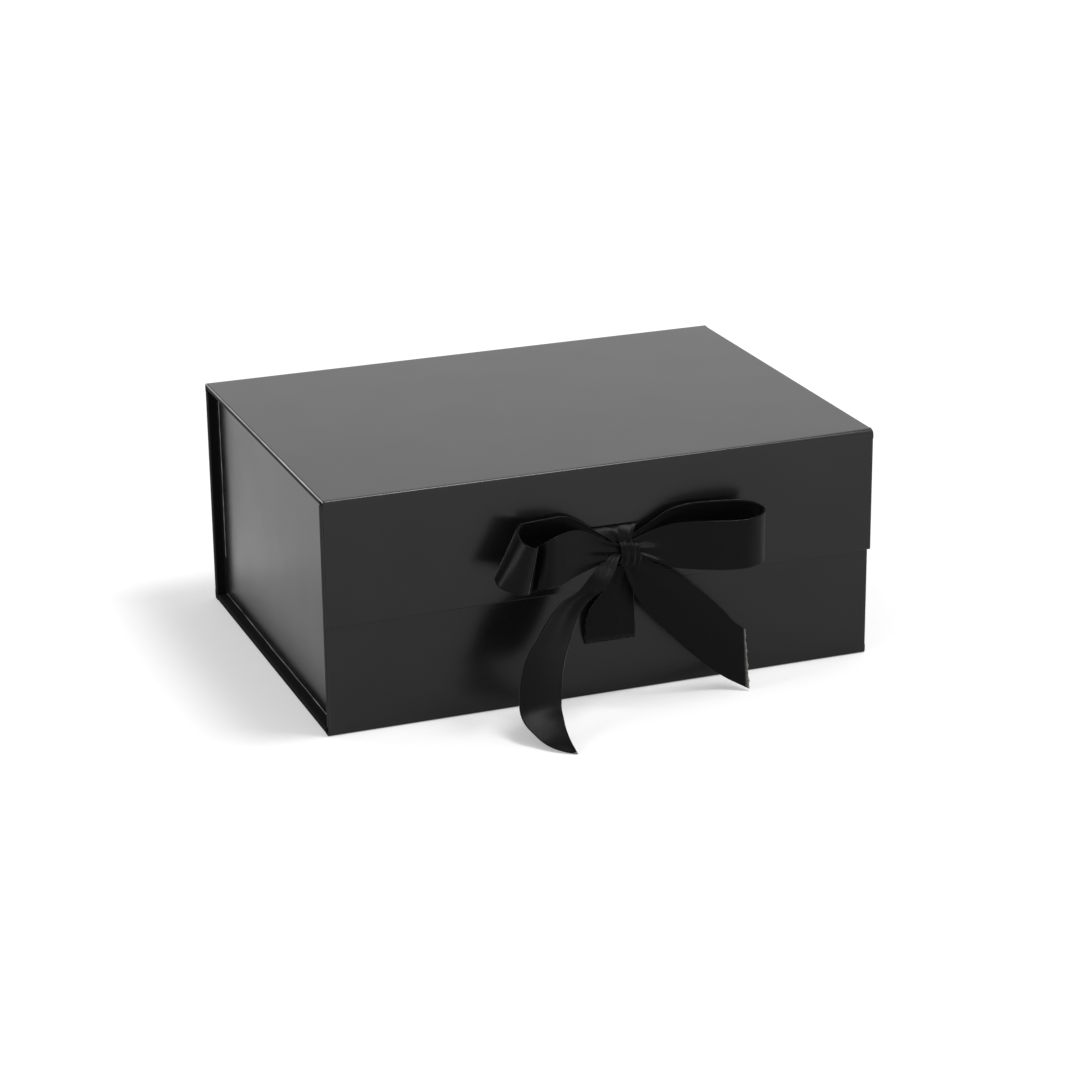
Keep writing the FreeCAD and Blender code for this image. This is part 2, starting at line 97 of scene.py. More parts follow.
# Ribbon, in millimetres, with the points across it and the steps from one cross line to the next.
RIBBON_WIDTH = 22.0
RIBBON_THICK = 0.32
SELVEDGE_THICK = 0.46
SELVEDGE = 0.6
POINTS_ACROSS = 26
STEPS_ALONG = 12
WEAVE = "weave"

# Pleats wander by a share at a rate, and die out at the woven edges by a power.
PLEAT_WANDER = 0.16
PLEAT_RATE = 2.2
PLEAT_POWER = 8

# A cut end: its raggedness, how far its pale threads fade over, in millimetres, and how pale they start.
RAGGED = 0.35
FRAY_FADE = 0.6
FRAY_FULL = 1.6

FLAP_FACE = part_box("flap_wrap")[0].y
BOW_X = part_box("upper_ribbon")[0].x + RIBBON_WIDTH / 2 * MM

# Faces that finishes and thin pieces are set out from, where the boards end at the case's folds, a hair's
# breadth, and the two sides with the sign of their x.
LID_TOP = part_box("lid_wrap")[1].z
CASE_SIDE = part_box("lid_wrap")[1].x
WALL_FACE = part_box("right_side_wrap")[1].x
SPINE_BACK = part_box("spine_wrap")[1].y
LID_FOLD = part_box("lid_crease")[0].z
BASE_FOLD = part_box("front_wrap")[0].z
BASE_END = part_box("base_wrap")[1].y
BASE_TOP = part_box("base_wrap")[1].z
SPINE_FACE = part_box("spine_wrap")[0].y
FRONT_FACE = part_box("front_wrap")[1].y
WALL_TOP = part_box("left_side_wrap")[1].z
HAIR = 0.1 * MM
SIDES = (("left", -1), ("right", 1))

# Folded paper strips: leg, thickness and fold radius, crisp and soft, in millimetres. The front fold softens
# from a share of the half width on, and the strip returns two points this far from its corner.
FOLD_LEG = 3.8
FOLD_THICK = 0.5
FOLD_CRISP = 1.2
FOLD_SOFT = 2.6
FOLD_TURNS = 29
FOLD_STATIONS = 97
SOFT_FROM = 0.45
BEND_REACH = 2.2
SHARP_ANGLE = math.radians(32)

# Seams, in millimetres: radius, the foot seam's gap at its ends, rise and stand-out, and the rear seam's
# distance from the spine, rise from the base and drop from the wall's top.
SEAM_RADIUS = 0.17
SEAM_STEPS = 120
SEAM_SIDES = 8
FOOT_GAP = 2.0
FOOT_RISE = 0.5
FOOT_OUT = 0.12
REAR_AWAY = 3.4
REAR_RISE = 18.0
REAR_DROP = 1.5

# Cross lines of the ribbon, from its start at the knot or a slit: the middle (right of the bow's middle,
# out from the flap's face, above the table), half the span (right, out, up), how far the middle bulges
# out, and the depth of its pleats.
LEFT_LOOP = [
    ((2.0, 3.6, 65.6), (0.0, 0.0, 3.0), (0.0, 0.5)),
    ((-7.0, 3.6, 67.6), (0.2, 0.0, 5.8), (0.0, 0.4)),
    ((-14.2, 3.0, 69.6), (0.5, 0.0, 9.0), (-0.3, 0.2)),
    ((-22.0, 2.6, 71.6), (0.8, 0.0, 10.7), (-0.5, 0.0)),
    ((-31.5, 3.0, 71.8), (1.8, 0.0, 10.7), (-0.6, 0.0)),
    ((-40.0, 4.2, 72.4), (3.6, -0.3, 10.1), (-0.4, 0.0)),
    ((-46.0, 5.8, 73.0), (4.8, -0.6, 9.5), (0.0, 0.0)),
    ((-49.2, 9.0, 72.8), (5.2, -0.8, 9.2), (0.0, 0.0)),
    ((-50.2, 12.8, 71.8), (5.2, -0.8, 9.2), (0.1, 0.0)),
    ((-49.8, 16.4, 70.2), (4.7, -0.5, 9.3), (0.3, 0.0)),
    ((-46.4, 19.6, 68.5), (3.5, -0.2, 9.4), (0.6, 0.0)),
    ((-42.0, 18.6, 66.9), (2.4, 0.0, 9.6), (0.3, 0.0)),
    ((-39.3, 14.6, 65.8), (1.8, 0.0, 9.7), (-0.3, 0.0)),
    ((-37.0, 16.6, 67.6), (1.3, 0.0, 10.0), (0.2, 0.0)),
    ((-34.2, 18.4, 68.9), (0.8, -0.1, 10.4), (0.6, 0.0)),
    ((-28.6, 16.8, 69.4), (0.2, -0.2, 10.7), (0.8, 0.0)),
    ((-22.4, 14.5, 70.3), (-0.2, -0.2, 9.8), (0.7, 0.1)),
    ((-16.2, 12.2, 70.0), (-0.5, -0.1, 8.4), (0.5, 0.25)),
    ((-8.4, 9.6, 67.6), (0.1, 0.0, 5.4), (0.2, 0.45)),
    ((2.0, 7.4, 65.4), (0.0, 0.0, 3.0), (0.0, 0.5)),
]
RIGHT_LOOP = [
    ((2.0, 3.8, 66.4), (0.0, 0.0, 3.0), (0.0, 0.5)),
    ((9.6, 3.7, 67.8), (0.0, 0.0, 4.4), (0.0, 0.45)),
    ((16.4, 3.5, 68.6), (0.0, 0.0, 7.0), (-0.2, 0.3)),
    ((23.4, 3.3, 69.5), (0.0, 0.0, 9.8), (-0.3, 0.1)),
    ((33.0, 3.0, 70.0), (0.0, 0.0, 10.8), (-0.3, 0.0)),
    ((45.0, 3.2, 69.6), (0.0, 0.0, 10.8), (-0.3, 0.0)),
    ((54.5, 5.0, 69.3), (0.0, 0.0, 10.8), (-0.2, 0.0)),
    ((60.2, 9.0, 68.8), (0.0, 0.0, 10.8), (0.0, 0.0)),
    ((61.9, 13.4, 67.8), (0.0, 0.0, 10.7), (0.0, 0.0)),
    ((59.6, 17.8, 67.0), (0.0, 0.0, 10.7), (0.1, 0.0)),
    ((53.0, 20.6, 66.6), (0.0, 0.0, 10.6), (0.3, 0.0)),
    ((45.0, 20.4, 66.7), (0.0, -0.6, 10.4), (0.6, 0.0)),
    ((36.0, 18.8, 67.3), (0.2, -1.6, 10.0), (0.8, 0.0)),
    ((28.0, 16.0, 67.5), (0.9, -2.6, 9.2), (0.7, 0.1)),
    ((21.0, 13.1, 67.4), (1.0, -3.4, 8.0), (0.6, 0.2)),
    ((14.4, 10.2, 67.3), (0.6, -3.2, 5.6), (0.4, 0.35)),
    ((8.4, 8.5, 67.3), (0.0, -1.8, 3.2), (0.1, 0.45)),
    ((3.0, 7.6, 66.4), (0.0, 0.0, 2.8), (0.0, 0.5)),
]
LEFT_TAIL = [
    ((4.0, 6.6, 65.6), (-1.6, -0.5, 1.0), (0.0, 0.4)),
    ((-2.2, 8.8, 65.0), (-2.1, -0.9, 0.5), (0.2, 0.2)),
    ((-6.8, 11.9, 61.3), (-2.7, -1.9, 0.9), (0.3, 0.08)),
    ((-11.4, 14.7, 57.5), (-2.8, -2.5, 1.3), (0.3, 0.05)),
    ((-15.2, 15.4, 54.4), (-2.8, -2.0, 1.2), (0.0, 0.12)),
    ((-18.3, 14.8, 51.8), (-3.3, -0.4, 1.3), (-0.5, 0.3)),
    ((-22.0, 14.5, 49.2), (-4.8, 1.0, 2.0), (-0.7, 0.32)),
    ((-25.9, 15.2, 45.5), (-6.2, 2.5, 2.7), (-0.4, 0.26)),
    ((-29.2, 16.3, 41.1), (-7.5, 3.6, 3.2), (0.1, 0.15)),
    ((-32.2, 17.5, 36.1), (-8.7, 4.2, 3.4), (0.5, 0.05)),
    ((-35.5, 18.5, 30.8), (-9.8, 4.5, 3.4), (0.7, 0.0)),
    ((-37.8, 19.8, 25.4), (-10.0, 3.8, 3.3), (0.7, 0.0)),
    ((-39.8, 22.2, 18.8), (-10.1, 2.8, 2.4), (0.6, 0.0)),
    ((-41.6, 25.9, 13.7), (-9.7, 1.7, 1.4), (0.6, 0.0)),
    ((-42.5, 28.8, 10.8), (-9.3, 1.2, 0.8), (0.6, 0.0)),
    ((-42.6, 32.8, 8.1), (-8.5, 0.9, 0.1), (0.6, 0.0)),
    ((-42.0, 36.9, 5.7), (-7.0, 0.6, -0.3), (0.5, 0.0)),
    ((-41.0, 41.2, 3.5), (-5.5, 0.5, -0.6), (0.4, 0.0)),
    ((-39.5, 45.6, 1.9), (-3.8, 0.4, -0.4), (0.3, 0.0)),
    ((-37.5, 49.2, 0.9), (-1.8, 0.2, -0.2), (0.1, 0.0)),
    ((-36.0, 51.5, 0.5), (-0.2, 0.1, 0.0), (0.0, 0.0)),
]
RIGHT_TAIL = [
    ((4.0, 6.5, 64.0), (2.4, 0.0, 2.2), (0.0, 0.5)),
    ((9.0, 8.4, 56.6), (4.6, 1.0, 4.0), (0.3, 0.4)),
    ((18.0, 8.4, 46.6), (7.0, 1.0, 7.2), (0.7, 0.15)),
    ((28.8, 8.4, 36.2), (7.4, 0.2, 8.2), (0.8, 0.0)),
    ((38.6, 8.9, 26.2), (7.0, 0.0, 8.8), (0.6, 0.0)),
    ((47.6, 10.4, 17.6), (3.2, -1.4, 11.2), (0.4, 0.0)),
    ((55.2, 13.4, 12.6), (0.6, -4.0, 11.8), (0.2, 0.0)),
]
UPPER_LEAD = [
    ((0.0, -2.0, 90.0), (-11.0, 0.0, 0.0), (0.0, 0.0)),
    ((0.0, -2.0, 78.0), (-11.0, 0.0, 0.0), (0.0, 0.0)),
    ((0.0, -1.9, 75.3), (-11.0, 0.0, 0.0), (0.0, 0.0)),
    ((0.0, -1.0, 74.5), (-11.0, 0.0, 0.0), (0.0, 0.0)),
    ((0.0, 0.3, 74.4), (-10.9, 0.0, 0.0), (0.0, 0.0)),
    ((0.4, 1.7, 73.5), (-9.2, 0.0, 0.2), (0.2, 0.2)),
    ((1.4, 3.8, 71.2), (-6.0, 0.0, 0.3), (0.3, 0.45)),
    ((2.6, 5.6, 68.4), (-3.6, 0.0, 0.2), (0.0, 0.5)),
    ((3.4, 6.0, 66.0), (-3.0, 0.0, 0.0), (0.0, 0.5)),
]
LOWER_LEAD = [
    ((0.0, -4.8, 9.0), (11.0, 0.0, 0.0), (0.0, 0.0)),
    ((0.0, -4.8, 20.0), (11.0, 0.0, 0.0), (0.0, 0.0)),
    ((0.0, -4.7, 23.2), (11.0, 0.0, 0.0), (0.0, 0.0)),
    ((0.0, -3.8, 24.0), (11.0, 0.0, 0.0), (0.0, 0.0)),
    ((0.0, -2.5, 24.1), (11.0, 0.0, 0.0), (0.0, 0.0)),
    ((-0.3, -1.2, 25.6), (11.0, 0.0, 0.1), (0.2, 0.0)),
    ((-0.8, -0.2, 30.0), (11.1, 0.0, 0.2), (0.6, 0.0)),
    ((-0.9, 0.5, 36.0), (10.6, 0.0, 0.3), (0.9, 0.0)),
    ((0.1, 1.2, 42.6), (9.0, 0.1, 0.7), (1.0, 0.1)),
    ((1.6, 2.0, 48.4), (6.6, 0.2, 1.2), (0.8, 0.25)),
    ((3.0, 3.0, 54.0), (4.4, 0.2, 1.2), (0.4, 0.4)),
    ((4.0, 4.0, 59.0), (3.2, 0.0, 0.6), (0.0, 0.5)),
]

# The knot: its middle, its reach out and up, half its span, and the cross lines round it and their turn.
KNOT_MIDDLE = (5.0, 5.4, 64.2)
KNOT_REACH = (4.2, 4.9)
KNOT_HALF = (-4.4, 0.0, 0.9)
KNOT_LINES = 14
KNOT_TURN = (-0.72 * math.pi, 1.28 * math.pi)


class Nodes:
    """Short ways to add nodes to a node tree."""

    def __init__(self, tree):
        self.tree = tree

    def node(self, kind, inputs=(), **settings):
        made = self.tree.nodes.new(f"ShaderNode{kind}")
        for setting, value in settings.items():
            setattr(made, setting, value)
        for socket, value in dict(inputs).items():
            self.feed(made.inputs[socket], value)
        return made

    def feed(self, socket, value):
        if isinstance(value, bpy.types.NodeSocket):
            self.tree.links.new(value, socket)
        else:
            socket.default_value = value

    def place(self, scale=(1, 1, 1), attribute=None):
        """Coordinates in the frame, or those kept in a mesh attribute, stretched by scale."""
        if attribute:
            source = self.node("Attribute", attribute_name=attribute).outputs["Vector"]
        else:
            source = self.node("TexCoord").outputs["Object"]
        return self.node("Mapping", {"Vector": source, "Scale": scale}).outputs["Vector"]

    def part(self, vector, axis):
        return self.node("SeparateXYZ", {0: vector}).outputs[axis]

    def noise(self, vector, scale, detail=2.0, rough=0.5):
        inputs = {"Vector": vector, "Scale": scale, "Detail": detail, "Roughness": rough}
        return self.node("TexNoise", inputs).outputs["Fac"]

    def math(self, operation, first, second=0.0):
        return self.node("Math", {0: first, 1: second}, operation=operation).outputs[0]

    def spread(self, value, low, high, start=0.3, stop=0.7):
        """A texture's values from start to stop, stretched to go from low to high."""
        inputs = {"Value": value, "From Min": start, "From Max": stop, "To Min": low, "To Max": high}
        return self.node("MapRange", inputs).outputs["Result"]

    def blend(self, share, first, second):
        mixed = self.node("Mix", data_type="RGBA")
        for socket, value in ((0, share), (6, first), (7, second)):
            self.feed(mixed.inputs[socket], value)
        return mixed.outputs[2]


class Shader(Nodes):
    """A material with one Principled surface."""

    def __init__(self, name, **sockets):
        self.material = bpy.data.materials.new(name)
        self.material.use_nodes = True
        super().__init__(self.material.node_tree)
        self.surface = self.tree.nodes["Principled BSDF"]
        for socket, value in sockets.items():
            self.surface.inputs[socket.replace("_", " ")].default_value = value

    def set(self, socket, value):
        self.tree.links.new(value, self.surface.inputs[socket])

    def bump(self, layers):
        """Relief from (height, depth in metres) layers, the coarsest first."""
        normal = None
        for height, depth in layers:
            inputs = {"Height": height, "Distance": depth}
            if normal is not None:
                inputs["Normal"] = normal
            normal = self.node("Bump", inputs).outputs["Normal"]
        self.set("Normal", normal)


def grey(level, warmth=0.0):
    return (level * (1 + warmth), level, level * (1 - warmth), 1.0)


def shown(nodes):
    """1 for what the camera sees directly, in gloss or through glass, and 0 for light on surfaces."""
    path = nodes.node("LightPath").outputs
    seen = nodes.math("MAXIMUM", path["Is Camera Ray"], path["Is Glossy Ray"])
    return nodes.math("MAXIMUM", seen, path["Is Transmission Ray"])


def wrap_paper(name, shine):
    """Black paper with a satin film: fine tooth, faint unevenness of the board, and lips and side edges that
    are rougher and darkened with painted shade.

    A pale line along the top of the lid's side edges is a painted highlight.
    """
    shader = Shader(name, IOR=1.5, Specular_IOR_Level=shine)
    # The third tone is painted shade for the lips and side faces; the last is a painted highlight for the
    # lid's side edges.
    deep, light, painted_shade_tone, worn, highlight_tone = (grey(0.0064, -0.02), grey(0.0084, -0.02), grey(0.003), grey(0.03, 0.02),
                                     grey(0.62))
    place = shader.place()
    tooth = shader.noise(place, 2400.0, 3.0)
    peel = shader.noise(place, 320.0, 2.0)
    waves = shader.noise(place, 14.0, 1.0)
    cloud = shader.noise(place, 42.0, 3.0)
    rubs = shader.spread(shader.noise(place, 160.0, 4.0), 0.0, 0.5, 0.5, 0.72)
    aside = shader.math("ABSOLUTE", shader.part(place, "X"))
    height = shader.part(place, "Z")
    past_wall = shader.spread(aside, 0.0, 1.0, WALL_FACE + HAIR, WALL_FACE + 4 * HAIR)
    below = shader.math("LESS_THAN", height, LID_FOLD + 3 * HAIR)
    inside = shader.math("LESS_THAN", shader.math("ABSOLUTE", shader.part(place, "Y")), SPINE_BACK - 6 * HAIR)
    lip = shader.math("MULTIPLY", past_wall, shader.math("MULTIPLY", below, inside))
    edge = shader.spread(aside, 0.0, 1.0, CASE_SIDE - 4 * HAIR, CASE_SIDE - 2 * HAIR)
    # Lips and the case's side faces: rougher, and darker by painted shade.
    dull_and_shaded = shader.math("MAXIMUM", lip, edge)
    rim = shader.spread(aside, 0.0, 1.0, CASE_SIDE - 6 * HAIR, CASE_SIDE - HAIR)
    rubbed = shader.math("MULTIPLY", shader.math("SUBTRACT", rim, edge), rubs)
    body = shader.blend(shader.spread(cloud, 0.0, 1.0), deep, light)
    # Painted shade darkens the lips and side faces.
    body = shader.blend(dull_and_shaded, body, painted_shade_tone)
    body = shader.blend(rubbed, body, worn)
    # Painted highlight: a pale line along the top of the lid's side edges.
    corner = shader.math("MULTIPLY", shader.spread(height, 0.0, 1.0, LID_TOP - 8 * HAIR, LID_TOP - 4 * HAIR),
                         shader.spread(aside, 0.0, 1.0, CASE_SIDE - 3 * HAIR, CASE_SIDE - HAIR))
    painted_highlight = shader.math("MULTIPLY", corner, shader.spread(cloud, 0.5, 1.0))
    shader.set("Base Color", shader.blend(painted_highlight, body, highlight_tone))
    gloss = shader.math("ADD", shader.spread(cloud, 0.21, 0.25), shader.math("MULTIPLY", dull_and_shaded, 0.7))
    shader.set("Roughness", shader.math("ADD", gloss, shader.math("MULTIPLY", rubbed, 0.1)))
    roll = shader.spread(aside, 1.0, 0.0, CASE_SIDE - 8 * HAIR, CASE_SIDE)
    shader.bump([(roll, 0.0005), (waves, 0.0001), (peel, 0.000005), (tooth, 0.000003)])
    return shader.material


def lining_paper():
    """Uncoated black paper with short fibres."""
    shader = Shader("lining_paper", IOR=1.45, Specular_IOR_Level=0.35)
    deep, light = grey(0.011), grey(0.016)
    place = shader.place()
    tooth = shader.noise(place, 1500.0, 4.0, 0.6)
    fibres = shader.noise(shader.place((900.0, 260.0, 260.0)), 1.0, 3.0)
    cloud = shader.noise(place, 30.0, 3.0)
    shader.set("Base Color", shader.blend(shader.spread(cloud, 0.0, 1.0), deep, light))
    shader.set("Roughness", shader.spread(fibres, 0.5, 0.64))
    shader.bump([(fibres, 0.00002), (tooth, 0.000015)])
    return shader.material


def greyboard():
    """Recycled board: pale and dark fibres pressed together, and black paper over its ends at the folds."""
    shader = Shader("greyboard", IOR=1.45, Specular_IOR_Level=0.3)
    deep, light, speck, black = grey(0.17, 0.06), grey(0.29, 0.06), grey(0.06), grey(0.009)
    place = shader.place()
    fibres = shader.noise(shader.place((1400.0, 420.0, 420.0)), 1.0, 4.0, 0.65)
    specks = shader.noise(place, 900.0, 2.0)
    shade = shader.blend(shader.spread(fibres, 0.0, 1.0), deep, light)
    shade = shader.blend(shader.spread(specks, 0.0, 0.6, 0.62, 0.75), shade, speck)
    height = shader.part(place, "Z")
    high = shader.math("GREATER_THAN", height, LID_FOLD - HAIR)
    low = shader.math("LESS_THAN", height, BASE_FOLD + HAIR)
    end = shader.math("GREATER_THAN", shader.math("ABSOLUTE", shader.part(place, "Y")), BASE_END - HAIR)
    lined = shader.math("MULTIPLY", end, shader.math("MAXIMUM", high, low))
    shader.set("Base Color", shader.blend(lined, shade, black))
    shader.set("Roughness", shader.spread(specks, 0.8, 0.95))
    shader.bump([(fibres, 0.00005), (specks, 0.00002)])
    return shader.material


def metal(name, tone, rough, scratch):
    """Plated or rolled metal with fine scratches along one way."""
    shader = Shader(name, Metallic=1.0)
    bright, stained = grey(tone), grey(tone * 0.8, 0.03)
    lines = shader.noise(shader.place((60.0, 60.0, 4000.0)), 1.0, 3.0)
    stain = shader.noise(shader.place(), 500.0, 3.0)
    shader.set("Base Color", shader.blend(shader.spread(stain, 0.0, 1.0), bright, stained))
    shader.set("Roughness", shader.spread(lines, rough, rough + 0.15))
    shader.bump([(lines, scratch)])
    return shader.material


def tape():
    """Double-sided tape: clear glue on crossed tissue."""
    shader = Shader("tape", IOR=1.46, Specular_IOR_Level=0.5)
    deep, light = grey(0.52, 0.05), grey(0.66, 0.03)
    tissue = shader.noise(shader.place((700.0, 700.0, 1800.0)), 1.0, 3.0)
    cloud = shader.noise(shader.place(), 220.0, 2.0)
    shader.set("Base Color", shader.blend(shader.spread(tissue, 0.0, 1.0), deep, light))
    shader.set("Roughness", shader.spread(cloud, 0.28, 0.42))
    shader.bump([(tissue, 0.00002)])
    return shader.material


def satin_ribbon():
    """Black satin: long fine threads, faint cross ribs, streaks of shine, pale threads at a cut end."""
    shader = Shader("satin_ribbon", IOR=1.5, Specular_IOR_Level=0.09, Sheen_Weight=0.12, Sheen_Roughness=0.35)
    deep, light, pale = grey(0.001, -0.03), grey(0.002, -0.03), grey(0.4, 0.03)
    place = shader.place(attribute=WEAVE)
    threads = shader.node("TexWave", {"Vector": place, "Scale": 1250.0, "Distortion": 1.2, "Detail": 2.0,
                                      "Detail Scale": 0.4}, bands_direction="X").outputs["Fac"]
    ribs = shader.node("TexWave", {"Vector": place, "Scale": 560.0, "Distortion": 0.6, "Detail": 1.0},
                       bands_direction="Y").outputs["Fac"]
    streaks = shader.noise(shader.place((2600.0, 60.0, 1.0), WEAVE), 1.0, 3.0)
    creases = shader.noise(shader.place((90.0, 240.0, 1.0), WEAVE), 1.0, 2.0)
    frayed = shader.math("MULTIPLY", shader.part(place, "Z"), shader.spread(streaks, 0.3, 1.0))
    shade = shader.blend(shader.spread(streaks, 0.0, 1.0), deep, light)
    shader.set("Base Color", shader.blend(frayed, shade, pale))
    shader.set("Roughness", shader.spread(streaks, 0.27, 0.35))
    shader.bump([(creases, 0.00008), (ribs, 0.000008), (threads, 0.000010)])
    return shader.material


def paper_edge_highlight():
    """A cut edge of black paper, whose inside is paler than its face; that pale tone is partly a painted
    highlight.
    """
    shader = Shader("paper_edge_highlight", IOR=1.5, Specular_IOR_Level=0.3)
    deep, light = grey(0.12), grey(0.34)
    place = shader.place()
    patches = shader.noise(place, 90.0, 3.0)
    fibres = shader.noise(place, 2600.0, 2.0)
    shader.set("Base Color", shader.blend(shader.spread(patches, 0.0, 1.0), deep, light))
    shader.set("Roughness", shader.spread(fibres, 0.4, 0.6))
    shader.bump([(fibres, 0.00002)])
    return shader.material


def smooth_rows(rows):
    """A smooth curve through rows of numbers, whose first three are the place."""
    rows = np.array(rows, float)
    gaps = np.sqrt(np.linalg.norm(np.diff(rows[:, :3], axis=0), axis=1))
    slopes = np.diff(rows, axis=0) / gaps[:, None]
    before, after = gaps[:-1, None], gaps[1:, None]
    inner = (slopes[1:] * before + slopes[:-1] * after) / (before + after)
    tangents = np.vstack([slopes[:1], inner, slopes[-1:]])
    made = []
    for index, gap in enumerate(gaps):
        last = index == len(gaps) - 1
        for share in np.linspace(0.0, 1.0, STEPS_ALONG + 1)[:None if last else -1]:
            a, b = rows[index], rows[index + 1]
            ta, tb = tangents[index] * gap, tangents[index + 1] * gap
            made.append(a * (2 * share ** 3 - 3 * share ** 2 + 1) + ta * (share ** 3 - 2 * share ** 2 + share)
                        + b * (3 * share ** 2 - 2 * share ** 3) + tb * (share ** 3 - share ** 2))
    return np.array(made)


def across_ribbon():
    """Places across a ribbon from -1 to 1, closer together at the two woven edges."""
    edge = 1 - 2 * SELVEDGE / RIBBON_WIDTH
    return np.concatenate([[-1.0], np.linspace(-edge, edge, POINTS_ACROSS), [1.0]])


def from_bow(points):
    """Millimetres from the bow's middle, the flap's face and the table, as places in the frame."""
    placed = np.asarray(points, float) * (MM, -MM, MM)
    placed[..., 0] += BOW_X
    placed[..., 1] += FLAP_FACE
    return placed


def add_mesh(name, points, faces):
    mesh = bpy.data.meshes.new(name)
    mesh.from_pydata(np.asarray(points).reshape(-1, 3).tolist(), [], faces)
    mesh.polygons.foreach_set("use_smooth", [True] * len(faces))
    piece = bpy.data.objects.new(name, mesh)
    bpy.context.scene.collection.objects.link(piece)
    return piece


def grid_faces(rows, columns):
    return [(r * columns + c, r * columns + c + 1, (r + 1) * columns + c + 1, (r + 1) * columns + c)
            for r in range(rows - 1) for c in range(columns - 1)]


def tube_faces(rings, around):
    """Faces of a tube through rings of points, with so many points around each."""
    faces = []
    for ring in range(rings - 1):
        for place in range(around):
            a, b = ring * around + place, ring * around + (place + 1) % around
            faces.append((a, b, b + around, a + around))
    return faces


def ribbon(name, cross_lines, pleats, phase, outward, cut):
    """A length of ribbon through cross lines, and that length in millimetres.

    outward is the sign of its front, and cut says that it ends in a cut and not in a knot.
    """
    rows = smooth_rows([middle + half + extra for middle, half, extra in cross_lines])
    across = across_ribbon()
    middles, halves, bulges, gathers = rows[:, :3], rows[:, 3:6], rows[:, 6], rows[:, 7]
    normals = np.cross(np.gradient(middles, axis=0), halves)
    normals *= outward / np.linalg.norm(normals, axis=1)[:, None]
    turn = math.pi * pleats * (across + 1 + PLEAT_WANDER * np.sin(PLEAT_RATE * across + phase))
    folds = np.sin(turn + phase) * (1 - np.abs(across) ** PLEAT_POWER)
    lift = bulges[:, None] * (1 - across ** 2) + gathers[:, None] * folds
    points = middles[:, None] + halves[:, None] * across[None, :, None] + normals[:, None] * lift[..., None]
    travelled = np.concatenate([[0.0], np.cumsum(np.linalg.norm(np.diff(middles, axis=0), axis=1))])
    weave = np.zeros(points.shape, np.float32)
    weave[..., 0] = across * RIBBON_WIDTH / 2 * MM
    weave[..., 1] = travelled[:, None] * MM
    if cut:
        ragged = RAGGED * np.sin(19.0 * across + phase) * np.sin(7.0 * across)
        onward = middles[-1] - middles[-2]
        points[-1] += onward / np.linalg.norm(onward) * ragged[:, None]
        weave[..., 2] = np.clip(FRAY_FULL - (travelled[-1] - travelled) / FRAY_FADE, 0, 1)[:, None]
    piece = add_mesh(name, from_bow(points), grid_faces(*points.shape[:2]))
    kept = piece.data.attributes.new(WEAVE, "FLOAT_VECTOR", "POINT")
    kept.data.foreach_set("vector", weave.ravel())
    thicken(piece, len(across))
    return piece, travelled[-1]


def thicken(piece, columns):
    """Give a ribbon its thickness, with firmer woven edges."""
    edges = piece.vertex_groups.new(name="selvedge")
    woven = (0, 1, columns - 2, columns - 1)
    count = len(piece.data.vertices)
    edges.add([index for index in range(count) if index % columns in woven], 1.0, "REPLACE")
    solid = piece.modifiers.new("thickness", "SOLIDIFY")
    solid.thickness = SELVEDGE_THICK * MM
    solid.offset = 0.0
    solid.vertex_group = edges.name
    solid.thickness_vertex_group = RIBBON_THICK / SELVEDGE_THICK


def knot_lines():
    """Cross lines of the ribbon that wraps the bow's middle, from behind it, over the top and back."""
    lines = []
    for turn in np.linspace(*KNOT_TURN, KNOT_LINES):
        out = KNOT_MIDDLE[1] + KNOT_REACH[0] * math.sin(turn)
        up = KNOT_MIDDLE[2] + KNOT_REACH[1] * math.cos(turn)
        front = max(math.sin(turn), 0.0)
        lines.append(((KNOT_MIDDLE[0], out, up), KNOT_HALF, (0.5 + 0.3 * front, 0.28 + 0.16 * front)))
    return lines


def fold_strip(name, node, front):
    """The paper hinge along one folded edge of the lid, as a strip of wrap bent round the corner.

    Its fold is crisp, and softer towards the right end of the front edge.
    """
    low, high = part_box(node)
    inward = 1 if front else -1
    corner_y = low.y if front else high.y
    turns = np.linspace(0.0, math.pi / 2, FOLD_TURNS)
    rings = []
    for x in np.linspace(low.x, high.x, FOLD_STATIONS):
        share = min(max((x / high.x - SOFT_FROM) / (1 - SOFT_FROM), 0.0), 1.0) if front else 0.0
        radius = FOLD_CRISP + (FOLD_SOFT - FOLD_CRISP) * share ** 2
        small = radius - FOLD_THICK
        outer = [(radius * (1 - math.cos(t)), radius * (1 - math.sin(t))) for t in turns]
        inner = [(radius - small * math.cos(t), radius - small * math.sin(t)) for t in turns[::-1]]
        section = [(0.0, FOLD_LEG), *outer, (FOLD_LEG, 0.0)]
        section += [(FOLD_LEG, FOLD_THICK), *inner, (FOLD_THICK, FOLD_LEG)]
        rings.append([(x, corner_y + inward * u * MM, high.z - v * MM) for u, v in section])
    count = len(rings[0])
    faces = tube_faces(len(rings), count)
    for start in (0, (len(rings) - 1) * count):
        stop = start + count - 1
        faces += [(start + c, start + c + 1, stop - 1 - c, stop - c) for c in range(count // 2 - 1)]
    piece = add_mesh(name, rings, faces)
    tidy_normals(piece)
    corner = Vector((0.0, corner_y, high.z))
    reach = BEND_REACH * MM
    return piece, corner + Vector((0.0, 0.0, -reach)), corner + Vector((0.0, inward * reach, 0.0))


def tidy_normals(piece):
    """Faces point outwards, and only the bent ones are shaded as curved."""
    bpy.context.view_layer.objects.active = piece
    piece.select_set(True)
    bpy.ops.object.mode_set(mode="EDIT")
    bpy.ops.mesh.select_all(action="SELECT")
    bpy.ops.mesh.normals_make_consistent(inside=False)
    bpy.ops.object.mode_set(mode="OBJECT")
    piece.data.set_sharp_from_angle(angle=SHARP_ANGLE)
    piece.select_set(False)


